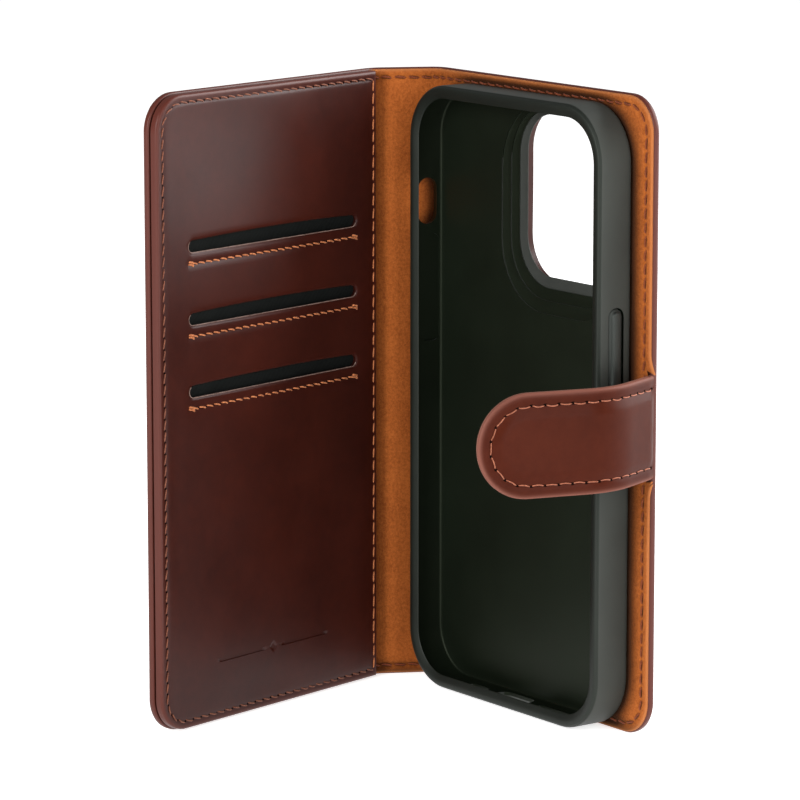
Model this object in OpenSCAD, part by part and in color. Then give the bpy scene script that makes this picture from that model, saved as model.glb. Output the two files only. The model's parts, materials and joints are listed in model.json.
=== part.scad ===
// Folding wallet case for a telephone, standing open on its lower edges.
// A leather cover of two panels and a spine folds round a moulded shell that grips the telephone.
// The front panel carries three card slots, and a magnetic strap springs from the back panel's free edge.
// Each panel is laid out flat from its fold: x along the panel, y across its layers, z up.

/* [Cover] */
// Height of the cover
cover_h = 154.5; // [154:0.5:158]
// Width of the back panel, from its fold to its free edge
back_w = 85; // [84.5:0.5:88]
// Width of the front panel, from its fold to its free edge
front_w = 82; // [80:0.5:82]
// Width of the spine between the two folds
spine_w = 17.6; // [17.6:0.2:19]
// Radius of the cover's outer corners
corner_r = 9; // [7:0.5:10]

/* [Layers] */
// Thickness of the outer leather
leather_t = 1; // [0.8:0.1:1]
// Thickness of the stiffening board
board_t = 0.8; // [0.6:0.1:0.8]
// Thickness of the lining
lining_t = 0.6; // [0.4:0.1:0.6]

/* [Folds] */
// Turn of the spine from the back panel; 90 is closed and 180 is flat
spine_angle = 118; // [95:1:160]
// Turn of the front panel from the back panel; 0 is closed
front_angle = 76.5; // [40:0.5:85]

/* [Telephone] */
// Width of the telephone
phone_w = 71.5; // [70:0.5:71.5]
// Height of the telephone
phone_h = 147.5; // [146:0.5:147.5]
// Thickness of the telephone
phone_t = 7.85; // [7.4:0.05:7.85]
// Corner radius of the telephone
phone_r = 11.8; // [11:0.1:12]

/* [Shell] */
// Thickness of the shell's side walls
wall_t = 1.8; // [1.7:0.1:1.9]
// Thickness of the shell's back plate
plate_t = 1.2; // [1:0.1:1.2]
// Thickness of the lip that holds the telephone in
lip_t = 0.8; // [0.6:0.1:0.9]
// How far the lip reaches over the telephone
lip_reach = 1.4; // [0.6:0.1:2.4]

/* [Camera opening] */
// Left edge of the opening, from the shell's left face
camera_left = 35.5; // [33:0.5:35.5]
// Lower edge of the opening, above the cover's base
camera_low = 107.5; // [104:0.5:107.5]
// Width of the opening
camera_w = 35; // [30:0.5:35]
// Height of the opening
camera_h = 39.5; // [36:0.5:39.5]
// Corner radius of the opening
camera_r = 9.5; // [8:0.5:10]

/* [Card slots] */
// Width of a card slot
slot_w = 60.8; // [56:0.2:61]
// Height of a card slot
slot_h = 3; // [2:0.5:3.5]
// Height of the top slot's centre
slot_top = 117.5; // [112:0.5:119]
// Distance from one slot down to the next
slot_pitch = 17.5; // [16:0.1:18]

/* [Strap] */
// Height of the strap's band
strap_h = 25; // [22:1:26]
// Thickness of the strap
strap_t = 2; // [1.8:0.1:2]
// Length of the strap past the cover's open side
strap_side_w = 18; // [18:0.2:19]
// Length of the tongue that lies on the front panel
strap_tongue_w = 34; // [30:1:36]
// Height of the strap's middle
strap_z = 76; // [74:1:78]
// Turn of the strap's side from the back panel; 90 is closed
strap_side_angle = 68; // [50:1:85]
// Turn of the strap's tongue from the back panel; 180 is closed
strap_tongue_angle = 106; // [90:1:140]

/* [Stitching] */
// Width of a line of thread
thread_w = 0.6; // [0.4:0.1:0.7]
// Height of the thread above the surface
thread_t = 0.2; // [0.1:0.05:0.2]
// Distance of the stitching from the edge
seam_inset = 2.4; // [2.2:0.2:4]

/* [Hidden] */
$fn = 96;
eps = 0.5;
gap = 0.3;

// Back panel: its lining faces -Y at y = 0
fold_y = lining_t + board_t + leather_t / 2;
leather_y = lining_t + board_t;
outer_y = leather_y + leather_t;
// Layers of the spine and the front panel, measured from the fold's axis
half_leather = leather_t / 2;
board_n = half_leather;
lining_n = half_leather + board_t;
pocket_n = lining_n + 0.5;
card_n = pocket_n + 1;
card_face_n = card_n + leather_t;
// Inner layers stop short of a fold, so that the panels close to a right angle
layer_setback = lining_n + lining_t + gap;
leather_setback = half_leather + gap;
bead_r = half_leather - 0.05;

// Shell
shell_x = 2.8;
shell_z = 0.5;
pad_t = 0.3;
fit_gap = 0.1;
shell_w = phone_w + 2 * (wall_t + fit_gap);
shell_h = phone_h + 2 * (wall_t + fit_gap);
shell_depth = plate_t + phone_t + 0.05 + lip_t;
shell_right = shell_x + shell_w;
shell_top = shell_z + shell_h;
shell_front = -pad_t - shell_depth;
plate_y = -pad_t - plate_t;
cavity_x = shell_x + wall_t;
cavity_z = shell_z + wall_t;
cavity_r = phone_r + fit_gap;
edge_step = 0.5;
camera_x = shell_x + camera_left;
cover_margin = 1.5;
surround_margin = 2.6;

// Buttons in the shell's walls
button_y = -4.9;
button_half = 2;
button_proud = 0.5;
button_t = 1.6;
volume_len = 11;
volume_down_z = 87.7;
volume_up_z = 101.2;
power_z = 84;
power_len = 20;

// Strap
strap_half = strap_t / 2;
strap_bead_r = strap_half - 0.1;
strap_root = [back_w - 0.1, 0.2];
strap_low = strap_z - strap_h / 2;
strap_high = strap_z + strap_h / 2;
tongue_start = strap_half + gap;
magnet_r = 4;
magnet_x = 22;
magnet_rise = 6.2;
notch_x = back_w - 2.1;
tab_x = 70;

// Card panel
slot_count = 3;
slot_x = 10.1;
slot_stitch_drop = 4.1;
pocket_step = 0.3;
pocket_sheet = 0.12;
pocket_depth = 78;
crease_x = 5;
emboss_t = 0.25;
emboss_z = 15.2;

// The folds, and the middle of the whole object's box
function along(angle) = [cos(angle), -sin(angle)];
fold_back = [0, fold_y];
fold_front = fold_back + spine_w * along(spine_angle);
strap_bend = strap_root + strap_side_w * along(strap_side_angle);
box_left = fold_front[0] - bead_r;
box_right = strap_bend[0] + strap_half * sin(strap_side_angle);
box_near = fold_front[1] - front_w * sin(front_angle) - half_leather * cos(front_angle);
box_far = outer_y;
origin = [(box_left + box_right) / 2, (box_near + box_far) / 2];

function slot_z(i) = slot_top - i * slot_pitch;

// ---------- Placing ----------

module on_back() {
    translate([-origin[0], -origin[1], 0]) children();
}

module at_fold(point, angle) {
    on_back() translate([point[0], point[1], 0]) rotate([0, 0, -angle]) children();
}

module on_spine() {
    at_fold(fold_back, spine_angle) children();
}

module on_front() {
    at_fold(fold_front, front_angle) children();
}

module on_strap_side() {
    at_fold(strap_root, strap_side_angle) children();
}

module on_tongue() {
    at_fold(strap_bend, strap_tongue_angle) children();
}

// Stands a flat outline up, with its thickness from y to y + t
module upright(y, t) {
    translate([0, y + t, 0]) rotate([90, 0, 0]) linear_extrude(t) children();
}

// Runs a y-z outline along x from x to x + t
module sideways(x, t) {
    translate([x, 0, 0]) rotate([90, 0, 90]) linear_extrude(t) children();
}

// ---------- Outlines ----------

// Rectangle with all four corners rounded
module rounded(x0, y0, x1, y1, r) {
    translate([x0 + r, y0]) square([x1 - x0 - 2 * r, y1 - y0]);
    translate([x0, y0 + r]) square([x1 - x0, y1 - y0 - 2 * r]);
    for (x = [x0 + r, x1 - r], y = [y0 + r, y1 - r]) translate([x, y]) circle(r);
}

// Bar with half-round ends, standing or lying
module pill(x0, y0, x1, y1) {
    r = min(x1 - x0, y1 - y0) / 2;
    if (x1 - x0 > y1 - y0) {
        translate([x0 + r, y0]) square([x1 - x0 - 2 * r, y1 - y0]);
    } else {
        translate([x0, y0 + r]) square([x1 - x0, y1 - y0 - 2 * r]);
    }
    for (x = [x0 + r, x1 - r], y = [y0 + r, y1 - r]) translate([x, y]) circle(r);
}

// Panel outline, square at the fold and rounded at the free edge
module page(x0, x1, inset, r) {
    translate([x0, inset]) square([x1 - x0 - r, cover_h - 2 * inset]);
    translate([x0, inset + r]) square([x1 - x0, cover_h - 2 * inset - 2 * r]);
    for (z = [inset + r, cover_h - inset - r]) translate([x1 - r, z]) circle(r);
}

// Line of thread round a panel's free edges
module page_seam(x0, x1, inset) {
    r = corner_r - seam_inset;
    difference() {
        page(x0, x1, inset, r);
        page(x0 - eps, x1 - thread_w, inset + thread_w, r - thread_w);
    }
}

module camera_outline(margin) {
    rounded(camera_x - margin, camera_low - margin,
        camera_x + camera_w + margin, camera_low + camera_h + margin, camera_r + margin);
}

// Strap band with a half-round tip
module tongue_outline(x0, inset) {
    r = strap_h / 2 - inset;
    tip_x = strap_tongue_w - strap_h / 2;
    translate([x0, strap_z - r]) square([tip_x - x0, 2 * r]);
    translate([tip_x, strap_z]) circle(r);
}

// ---------- Back panel ----------

// The outer seam is sunk, so that the case lies flat on its back
module back_seam_channel() {
    upright(outer_y - thread_t, thread_t) page_seam(3, back_w - seam_inset, seam_inset);
}

module back_outer_leather() {
    color("#4a1d17") on_back() {
        difference() {
            upright(leather_y, leather_t) difference() {
                page(0, back_w, 0, corner_r);
                camera_outline(cover_margin);
            }
            back_seam_channel();
        }
        translate([0, fold_y, 0]) cylinder(r = bead_r, h = cover_h);
    }
}

module back_board() {
    inset = 0.8;
    color("#6b6459") on_back() upright(lining_t, board_t) difference() {
        page(layer_setback, back_w - inset, inset, corner_r - inset);
        camera_outline(cover_margin);
        translate([tab_x - gap, strap_low - gap]) square([back_w, strap_h + 2 * gap]);
    }
}

module back_lining() {
    inset = 0.5;
    color("#b9652f") on_back() upright(0, lining_t) difference() {
        page(layer_setback, back_w - inset, inset, corner_r - inset);
        camera_outline(cover_margin);
        translate([notch_x, strap_low - gap]) square([back_w, strap_h + 2 * gap]);
    }
}

module back_seam_thread() {
    color("#9a4a22") on_back() {
        back_seam_channel();
        upright(-thread_t, thread_t) page_seam(3, back_w - seam_inset, seam_inset);
    }
}

module strap_root_tab() {
    color("#4f221a") on_back() upright(lining_t + 0.1, board_t - 0.2)
        translate([tab_x, strap_low]) square([notch_x + 0.7 - tab_x, strap_h]);
}

module shell_adhesive_pad() {
    inset = 7;
    color("#d8d4cc") on_back() upright(-pad_t, pad_t) difference() {
        rounded(shell_x + inset, shell_z + inset, shell_right - inset, shell_top - inset, 4);
        camera_outline(2 * cover_margin);
    }
}

// ---------- Phone shell ----------

module shell_outline(inset) {
    rounded(shell_x + inset, shell_z + inset, shell_right - inset, shell_top - inset,
        cavity_r + wall_t - inset);
}

module cavity_outline(inset) {
    rounded(cavity_x + inset, cavity_z + inset, shell_right - wall_t - inset,
        shell_top - wall_t - inset, cavity_r - inset);
}

module shell_body() {
    upright(shell_front, shell_depth) shell_outline(edge_step);
    upright(shell_front + edge_step, shell_depth - 2 * edge_step) shell_outline(0);
}

module button_outline(z, length, margin) {
    pill(button_y - button_half - margin, z - margin,
        button_y + button_half + margin, z + length + margin);
}

module shell_openings() {
    // Room for the telephone, and the mouth inside the lip
    upright(shell_front + lip_t, shell_depth - lip_t - plate_t) cavity_outline(0);
    upright(shell_front - eps, lip_t + 2 * eps) cavity_outline(lip_reach);
    // Camera opening with a stepped surround
    upright(plate_y - eps, plate_t + 2 * eps) camera_outline(0);
    upright(plate_y - eps, eps + plate_t / 2) camera_outline(surround_margin);
    // Mute switch, volume buttons and power button
    sideways(shell_x - eps, wall_t + 2 * eps) pill(-8.6, 116.2, -3, 127.6);
    sideways(shell_x - eps, wall_t + 2 * eps) {
        button_outline(volume_down_z, volume_len, gap);
        button_outline(volume_up_z, volume_len, gap);
    }
    sideways(shell_x + 1.2, wall_t) rounded(-7.6, 86.6, -2.2, 113.6, 2);
    sideways(shell_right - wall_t - eps, wall_t + 2 * eps) button_outline(power_z, power_len, gap);
    // Charging port with a speaker slot on each side
    translate([shell_x, 0, shell_z - eps]) linear_extrude(wall_t + 2 * eps) {
        rounded(31.4, -8.4, 43.9, -3.2, 2);
        pill(20.4, -7.4, 27.6, -5);
        pill(47.7, -7.4, 59.5, -5);
    }
}

module phone_shell() {
    color("#222425") on_back() difference() {
        shell_body();
        shell_openings();
    }
}

module volume_button(z) {
    color("#2b2d2e") on_back() sideways(shell_x - button_proud, button_t)
        button_outline(z, volume_len, 0);
}

module volume_up_button() {
    volume_button(volume_up_z);
}

module volume_down_button() {
    volume_button(volume_down_z);
}

module power_button() {
    color("#2b2d2e") on_back() sideways(shell_right + button_proud - button_t, button_t)
        button_outline(power_z, power_len, 0);
}

// ---------- Spine ----------

module spine_outer_leather() {
    color("#4a1d17") on_spine() {
        translate([leather_setback, -half_leather, 0])
            cube([spine_w - leather_setback, leather_t, cover_h]);
        translate([spine_w, 0, 0]) cylinder(r = bead_r, h = cover_h);
    }
}

module spine_layer(n, t, inset) {
    width = spine_w - 2 * leather_setback;
    on_spine() translate([leather_setback, n, inset]) cube([width, t, cover_h - 2 * inset]);
}

module spine_board() {
    color("#6b6459") spine_layer(board_n, board_t, 0.8);
}

module spine_lining() {
    color("#b9652f") spine_layer(lining_n, lining_t, 0.5);
}

module spine_seam_thread() {
    width = spine_w - 2 * leather_setback;
    faces = [-half_leather - thread_t, lining_n + lining_t];
    color("#9a4a22") on_spine()
        for (n = faces, z = [seam_inset, cover_h - seam_inset - thread_w])
            translate([leather_setback, n, z]) cube([width, thread_t, thread_w]);
}

// ---------- Front panel ----------

module front_outer_leather() {
    color("#4a1d17") on_front() upright(-half_leather, leather_t)
        page(leather_setback, front_w, 0, corner_r);
}

module catch_outline(margin) {
    rounded(56 - margin, strap_z - 9 - margin, 70 + margin, strap_z + 9 + margin, 2);
}

module front_board() {
    inset = 0.8;
    color("#6b6459") on_front() upright(board_n, board_t) difference() {
        page(layer_setback, front_w - inset, inset, corner_r - inset);
        catch_outline(0.2);
    }
}

module front_catch_plate() {
    color("#9a9da0") on_front() upright(board_n + 0.1, board_t - 0.2) catch_outline(0);
}

module front_lining() {
    inset = 0.5;
    color("#b9652f") on_front() upright(lining_n, pocket_n - lining_n)
        page(layer_setback, front_w - inset, inset, corner_r - inset);
}

// Cloth bag behind a slot: a back sheet, a shorter front sheet and a folded foot
module pocket_lining(i) {
    low = max(slot_z(i) - pocket_depth, 6);
    back_n = pocket_n + 0.05 + i * pocket_step;
    front_n = back_n + pocket_sheet + 0.04;
    left = slot_x - 1.5;
    width = slot_w + 3;
    color("#17161a") on_front() {
        translate([left, back_n, low]) cube([width, pocket_sheet, slot_z(i) + 4 - low]);
        translate([left, front_n, low]) cube([width, pocket_sheet, slot_z(i) - slot_h / 2 - low]);
        translate([left, back_n, low]) cube([width, 2 * pocket_sheet + 0.04, 1]);
    }
}

module pocket_lining_upper() {
    pocket_lining(0);
}

module pocket_lining_middle() {
    pocket_lining(1);
}

module pocket_lining_lower() {
    pocket_lining(2);
}

// Debossed ornament: two rules with a lozenge between them
module ornament() {
    middle = 41.6;
    rule_w = 16.4;
    for (x = [middle - 3.2 - rule_w, middle + 3.2])
        translate([x, emboss_z - 0.35]) square([rule_w, 0.7]);
    translate([middle, emboss_z]) rotate(45) square(1.8, center = true);
}

module card_panel_leather() {
    inset = 0.4;
    rim = 5;
    face = card_face_n - emboss_t;
    color("#4a1d17") on_front() difference() {
        upright(pocket_n, card_face_n - pocket_n)
            page(layer_setback, front_w - inset, inset, corner_r - inset);
        // Hollow for the pockets, leaving turned edges all round
        upright(pocket_n - eps, card_n - pocket_n + eps)
            rounded(layer_setback + rim, inset + rim, front_w - inset - rim, cover_h - inset - rim, 4);
        for (i = [0 : slot_count - 1]) upright(card_n - eps, leather_t + 2 * eps)
            pill(slot_x, slot_z(i) - slot_h / 2, slot_x + slot_w, slot_z(i) + slot_h / 2);
        upright(face, emboss_t + eps) ornament();
        upright(face, emboss_t + eps) translate([crease_x, 2]) square([0.6, cover_h - 4]);
    }
}

module front_seam_thread() {
    color("#9a4a22") on_front() {
        upright(-half_leather - thread_t, thread_t) page_seam(3, front_w - seam_inset, seam_inset);
        upright(card_face_n, thread_t) page_seam(crease_x + 1, front_w - seam_inset, seam_inset);
    }
}

module spine_edge_thread() {
    color("#9a4a22") on_front() upright(card_face_n, thread_t)
        translate([layer_setback + 1, seam_inset]) square([thread_w, cover_h - 2 * seam_inset]);
}

module slot_thread(i) {
    knot_h = 2.4;
    z = slot_z(i) - slot_stitch_drop;
    color("#b5622e") on_front() upright(card_face_n, thread_t) {
        translate([slot_x, z - thread_w / 2]) square([slot_w, thread_w]);
        for (x = [slot_x, slot_x + slot_w - thread_w])
            translate([x, z - knot_h / 2]) square([thread_w, knot_h]);
    }
}

module slot_thread_upper() {
    slot_thread(0);
}

module slot_thread_middle() {
    slot_thread(1);
}

module slot_thread_lower() {
    slot_thread(2);
}

// ---------- Strap ----------

module strap_side_leather() {
    color("#5a2819") on_strap_side() {
        translate([0, 0, strap_low]) cube([strap_side_w, strap_half, strap_h]);
        for (x = [0, strap_side_w])
            translate([x, 0, strap_low]) cylinder(r = strap_bead_r, h = strap_h);
    }
}

module strap_side_lining() {
    inset = strap_bead_r + gap;
    color("#4f221a") on_strap_side() translate([inset, -strap_half, strap_low + 0.3])
        cube([strap_side_w - 2 * inset, strap_half, strap_h - 0.6]);
}

module strap_side_thread() {
    color("#b5622e") on_strap_side() for (z = [strap_low + 3, strap_high - 3 - thread_w])
        translate([1, strap_half, z]) cube([strap_side_w - 2.5, thread_t, thread_w]);
}

module strap_tongue_leather() {
    color("#5a2819") on_tongue() upright(0, strap_half) tongue_outline(tongue_start, 0);
}

module magnet(rise, margin) {
    translate([magnet_x, 0, strap_z + rise]) rotate([90, 0, 0])
        cylinder(r = magnet_r + margin, h = strap_half - 0.25 + margin);
}

module strap_tongue_lining() {
    color("#4f221a") on_tongue() difference() {
        upright(-strap_half, strap_half) tongue_outline(tongue_start, 0.3);
        for (rise = [-magnet_rise, magnet_rise]) magnet(rise, 0.1);
    }
}

module strap_tongue_thread() {
    inset = 3;
    color("#b5622e") on_tongue() upright(strap_half, thread_t) difference() {
        tongue_outline(tongue_start, inset);
        tongue_outline(tongue_start - eps, inset + thread_w);
    }
}

module strap_magnet_upper() {
    color("#8b8e92") on_tongue() magnet(magnet_rise, 0);
}

module strap_magnet_lower() {
    color("#8b8e92") on_tongue() magnet(-magnet_rise, 0);
}

// ---------- Drawing ----------

back_outer_leather();
back_board();
back_lining();
back_seam_thread();
strap_root_tab();
shell_adhesive_pad();
phone_shell();
spine_outer_leather();
spine_board();
spine_lining();
spine_seam_thread();
front_outer_leather();
front_board();
front_catch_plate();
front_lining();
pocket_lining_upper();
pocket_lining_middle();
pocket_lining_lower();
card_panel_leather();
front_seam_thread();
spine_edge_thread();
slot_thread_upper();
slot_thread_middle();
slot_thread_lower();
strap_side_leather();
strap_side_lining();
strap_side_thread();
strap_tongue_leather();
strap_tongue_lining();
strap_tongue_thread();
strap_magnet_upper();
strap_magnet_lower();
volume_up_button();
volume_down_button();
power_button();
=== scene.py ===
"""Phone wallet case: leather cover, moulded shell and strap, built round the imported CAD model."""
import json
import math

import bmesh
import bpy
import numpy as np
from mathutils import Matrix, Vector, noise


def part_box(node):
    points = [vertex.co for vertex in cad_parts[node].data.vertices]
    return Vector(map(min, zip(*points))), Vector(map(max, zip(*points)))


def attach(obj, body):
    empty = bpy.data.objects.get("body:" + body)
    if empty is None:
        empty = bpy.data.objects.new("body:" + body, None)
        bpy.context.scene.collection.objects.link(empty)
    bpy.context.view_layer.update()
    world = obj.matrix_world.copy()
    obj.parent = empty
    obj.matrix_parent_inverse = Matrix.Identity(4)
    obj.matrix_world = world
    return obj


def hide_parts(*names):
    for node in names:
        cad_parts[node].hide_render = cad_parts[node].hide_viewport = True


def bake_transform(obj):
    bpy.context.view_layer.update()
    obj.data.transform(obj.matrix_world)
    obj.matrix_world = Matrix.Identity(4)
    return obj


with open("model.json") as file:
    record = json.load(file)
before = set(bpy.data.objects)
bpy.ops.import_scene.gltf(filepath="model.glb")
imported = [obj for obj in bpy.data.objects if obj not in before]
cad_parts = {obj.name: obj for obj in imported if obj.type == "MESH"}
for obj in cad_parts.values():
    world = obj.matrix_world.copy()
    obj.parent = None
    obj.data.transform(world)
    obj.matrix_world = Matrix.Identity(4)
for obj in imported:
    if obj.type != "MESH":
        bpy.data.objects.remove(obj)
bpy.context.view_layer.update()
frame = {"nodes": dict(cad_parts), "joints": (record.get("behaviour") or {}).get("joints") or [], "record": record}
joints = {j["name"]: j for j in frame["joints"]}
scene = bpy.context.scene

# Everything below is in millimetres, in the row's frame, until a mesh is made
MM = 0.001


def box_mm(node):
    low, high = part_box(node)
    return [v / MM for v in low], [v / MM for v in high]


# ---------- Sizes taken from the frame ----------

def heading(angle):
    """Direction of a panel in plan."""
    return np.array([math.cos(math.radians(angle)), -math.sin(math.radians(angle))])


def facing(angle):
    """Direction that a panel's inner face looks in, in plan."""
    return np.array([math.sin(math.radians(angle)), math.cos(math.radians(angle))])


def extent(node, origin, angle):
    """How far a node reaches along a panel and off it, measured from a fold."""
    spots = np.array([v.co[:2] for v in frame["nodes"][node].data.vertices]) / MM - origin
    along, off = spots @ heading(angle), spots @ facing(angle)
    return (along.min(), along.max()), (off.min(), off.max())


def opening(name):
    found = next(o for o in frame["record"]["physics"]["openings"] if o["name"] == name)
    return [[v / MM for v in corner] for corner in found["box_m"]]


fold_back = np.array(joints["spine_fold"]["pos_m"][:2]) / MM
fold_front = np.array(joints["front_fold"]["pos_m"][:2]) / MM
strap_root = np.array(joints["strap_root_bend"]["pos_m"][:2]) / MM
strap_bend = np.array(joints["strap_tongue_bend"]["pos_m"][:2]) / MM
SPINE_ANGLE = 90 + joints["spine_fold"]["range_deg"][1]
FRONT_ANGLE = SPINE_ANGLE - 90 + joints["front_fold"]["range_deg"][1]
SIDE_ANGLE = 90 - joints["strap_root_bend"]["range_deg"][1]
TONGUE_ANGLE = SIDE_ANGLE + 90 - joints["strap_tongue_bend"]["range_deg"][1]

COVER_H = box_mm("front_outer_leather")[1][2]
CORNER_R = 9.0
SPINE_W = math.dist(fold_back, fold_front)
MID_SPINE = SPINE_W / 2
BACK_W = box_mm("back_outer_leather")[1][0] - fold_back[0]
front_span, front_off = extent("front_outer_leather", fold_front, FRONT_ANGLE)
FRONT_W = front_span[1]
LEATHER_HALF = -front_off[0]
BOARD_TOP = extent("front_board", fold_front, FRONT_ANGLE)[1][1]
LINING_TOP = extent("front_lining", fold_front, FRONT_ANGLE)[1][1] + 0.05
SEAM_INSET = box_mm("front_seam_thread")[0][2]

card_span, card_off = extent("card_panel_leather", fold_front, FRONT_ANGLE)
CARD_START, CARD_END = SPINE_W + card_span[0], SPINE_W + card_span[1]
CARD_LOW, CARD_N = card_off
slot_span = extent("slot_thread_upper", fold_front, FRONT_ANGLE)[0]
SLOT_X, SLOT_W = SPINE_W + slot_span[0], slot_span[1] - slot_span[0]
SLOT_HALF = 1.5
SLOT_STITCH_DROP = 4.1
SLOT_Z = {key: sum(c[2] for c in box_mm("slot_thread_" + key)) / 2 + SLOT_STITCH_DROP
    for key in ("upper", "middle", "lower")}
CREASE_U = SPINE_W + 5.3
EMBOSS_Z = 15.2
EMBOSS_U = SPINE_W + 41.6
RULE_START, RULE_W = 3.2, 16.4

SIDE_W = math.dist(strap_root, strap_bend)
TONGUE_W = extent("strap_tongue_leather", strap_bend, TONGUE_ANGLE)[0][1]
STRAP_LOW = box_mm("strap_tongue_leather")[0][2]
STRAP_HIGH = box_mm("strap_tongue_leather")[1][2]
STRAP_Z = (STRAP_LOW + STRAP_HIGH) / 2
STRAP_HALF = 1.0
STRAP_SEAM = 3.0
STRAP_PITCH = 3.5

SHELL_LOW, SHELL_HIGH = box_mm("phone_shell")
SHELL_X, SHELL_Z = SHELL_LOW[0], SHELL_LOW[2]
SHELL_BACK, SHELL_FRONT = SHELL_HIGH[1], SHELL_LOW[1]
SHELL_W = SHELL_HIGH[0] - SHELL_X
SHELL_H = SHELL_HIGH[2] - SHELL_Z
SHELL_R = 13.7
WALL_T, PLATE_T, LIP_T, LIP_REACH = 1.8, 1.2, 0.8, 1.4
# The camera opening stands this far outside its box in the record
CAMERA_CLEAR = 3.1
CAMERA_R = 9.5
camera_box = opening("camera_cutout")
CAMERA_X = (camera_box[0][0] - CAMERA_CLEAR, camera_box[1][0] + CAMERA_CLEAR)
CAMERA_Z = (camera_box[0][2] - CAMERA_CLEAR, camera_box[1][2] + CAMERA_CLEAR)
COVER_MARGIN = 1.5
# Spacing of the cover's grid away from its edges
COVER_STEP = 1.3


# ---------- Materials ----------

class Finish:
    """A procedural material: a Principled shader with the textures that drive it."""

    def __init__(self, name, **values):
        self.material = bpy.data.materials.new(name)
        self.material.use_nodes = True
        tree = self.material.node_tree
        self.nodes, self.links = tree.nodes, tree.links
        self.shader = self.nodes["Principled BSDF"]
        for key, value in values.items():
            self.shader.inputs[key.replace("_", " ")].default_value = value
        self.place = self.nodes.new("ShaderNodeTexCoord").outputs["Object"]

    def node(self, kind, **inputs):
        made = self.nodes.new("ShaderNode" + kind)
        for key, value in inputs.items():
            socket = made.inputs[key.replace("_", " ")]
            if hasattr(value, "links"):
                self.links.new(value, socket)
            else:
                socket.default_value = value
        return made

    def noise(self, scale, detail=3.0, rough=0.5):
        return self.node("TexNoise", Vector=self.place, Scale=scale, Detail=detail,
            Roughness=rough).outputs["Fac"]

    def cells(self, scale):
        """Distance from the walls between cells."""
        made = self.node("TexVoronoi", Vector=self.place, Scale=scale)
        made.feature = "DISTANCE_TO_EDGE"
        return made.outputs["Distance"]

    def ramp(self, value, *stops):
        made = self.node("ValToRGB", Fac=value)
        ramp = made.color_ramp
        while len(ramp.elements) < len(stops):
            ramp.elements.new(0.5)
        for element, (at, colour) in zip(ramp.elements, stops):
            element.position = at
            element.color = (*colour, 1) if hasattr(colour, "__len__") else (colour,) * 3 + (1,)
        return made.outputs["Color"]

    def mix(self, amount, a, b):
        made = self.nodes.new("ShaderNodeMix")
        made.data_type = "RGBA"
        for socket, value in ((made.inputs[0], amount), (made.inputs[6], a), (made.inputs[7], b)):
            if hasattr(value, "links"):
                self.links.new(value, socket)
            else:
                socket.default_value = (*value, 1) if hasattr(value, "__len__") else value
        return made.outputs[2]

    # Mask of the painted highlight along rounded edges, stored on the mesh as its edge attribute
    def edge(self):
        made = self.nodes.new("ShaderNodeAttribute")
        made.attribute_name = "edge"
        return made.outputs["Fac"]

    def colour(self, value):
        self.links.new(value, self.shader.inputs["Base Color"])

    def roughness(self, value, low, high):
        made = self.node("MapRange", Value=value)
        made.inputs["To Min"].default_value = low
        made.inputs["To Max"].default_value = high
        self.links.new(made.outputs[0], self.shader.inputs["Roughness"])

    def bump(self, *layers):
        """Each layer is (height, strength, distance in metres)."""
        below = None
        for height, strength, distance in layers:
            made = self.node("Bump", Strength=strength, Distance=distance, Height=height)
            if below:
                self.links.new(below, made.inputs["Normal"])
            below = made.outputs["Normal"]
        self.links.new(below, self.shader.inputs["Normal"])


def leather(name, dark, light, edge_highlight_colour, gloss, shine, specular=0.12):
    look = Finish(name, Coat_Weight=shine, Coat_Roughness=gloss, Coat_IOR=1.45,
        Specular_IOR_Level=specular)
    cloud = look.noise(34, 5, 0.6)
    fine = look.noise(420, 4, 0.65)
    tone = look.ramp(cloud, (0.34, dark), (0.68, light))
    tone = look.mix(0.3, tone, look.ramp(fine, (0.35, dark), (0.65, light)))
    # Painted highlight: the colour lightens towards the rounded edges
    look.colour(look.mix(look.edge(), tone, edge_highlight_colour))
    look.roughness(look.noise(130, 4), 0.34, 0.5)
    pores = look.cells(1500)
    look.bump((look.noise(90, 3), 0.16, 0.0004), (pores, 0.14, 0.00006), (fine, 0.12, 0.00008))
    return look.material


def suede(name, dark, light, edge_highlight_colour):
    look = Finish(name, Sheen_Weight=0.10, Sheen_Roughness=0.5, Sheen_Tint=(1.0, 0.6, 0.3, 1),
        Specular_IOR_Level=0.1)
    nap = look.noise(1500, 4, 0.8)
    cloud = look.noise(110, 5, 0.65)
    tone = look.mix(0.35, look.ramp(nap, (0.36, dark), (0.64, light)),
        look.ramp(cloud, (0.3, dark), (0.72, light)))
    # Painted shade: the suede's colour darkens where the shell and the folds stand close over it, by ambient
    # occlusion
    contact_shade = look.node("AmbientOcclusion", Distance=0.005).outputs["AO"]
    tone = look.mix(look.ramp(contact_shade, (0.54, (0, 0, 0)), (0.95, (1, 1, 1))),
        tuple(v * 0.12 for v in dark), tone)
    # Painted highlight: the colour shifts to a lighter tone towards the rounded edges
    look.colour(look.mix(look.edge(), tone, edge_highlight_colour))
    look.roughness(nap, 0.82, 0.97)
    look.bump((cloud, 0.25, 0.0003), (nap, 0.8, 0.00026))
    return look.material


def soft_plastic(name, tone, low, high, shine=0.5, tint=(0.94, 1.0, 0.91)):
    look = Finish(name, Specular_IOR_Level=shine, Specular_Tint=(*tint, 1))
    haze = look.noise(45, 4, 0.6)
    grain = look.noise(2600, 2, 0.5)
    brighter = tuple(v * 1.5 for v in tone)
    look.colour(look.ramp(haze, (0.3, tone), (0.75, brighter)))
    look.roughness(haze, low, high)
    look.bump((look.noise(70, 2), 0.05, 0.0003), (grain, 0.16, 0.00005))
    return look.material


def thread(name, dark, light):
    look = Finish(name, Sheen_Weight=0.1, Specular_IOR_Level=0.15)
    strand = look.noise(2200, 3, 0.6)
    look.colour(look.ramp(strand, (0.3, dark), (0.7, light)))
    look.roughness(strand, 0.5, 0.75)
    look.bump((strand, 0.6, 0.00012))
    return look.material


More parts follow.
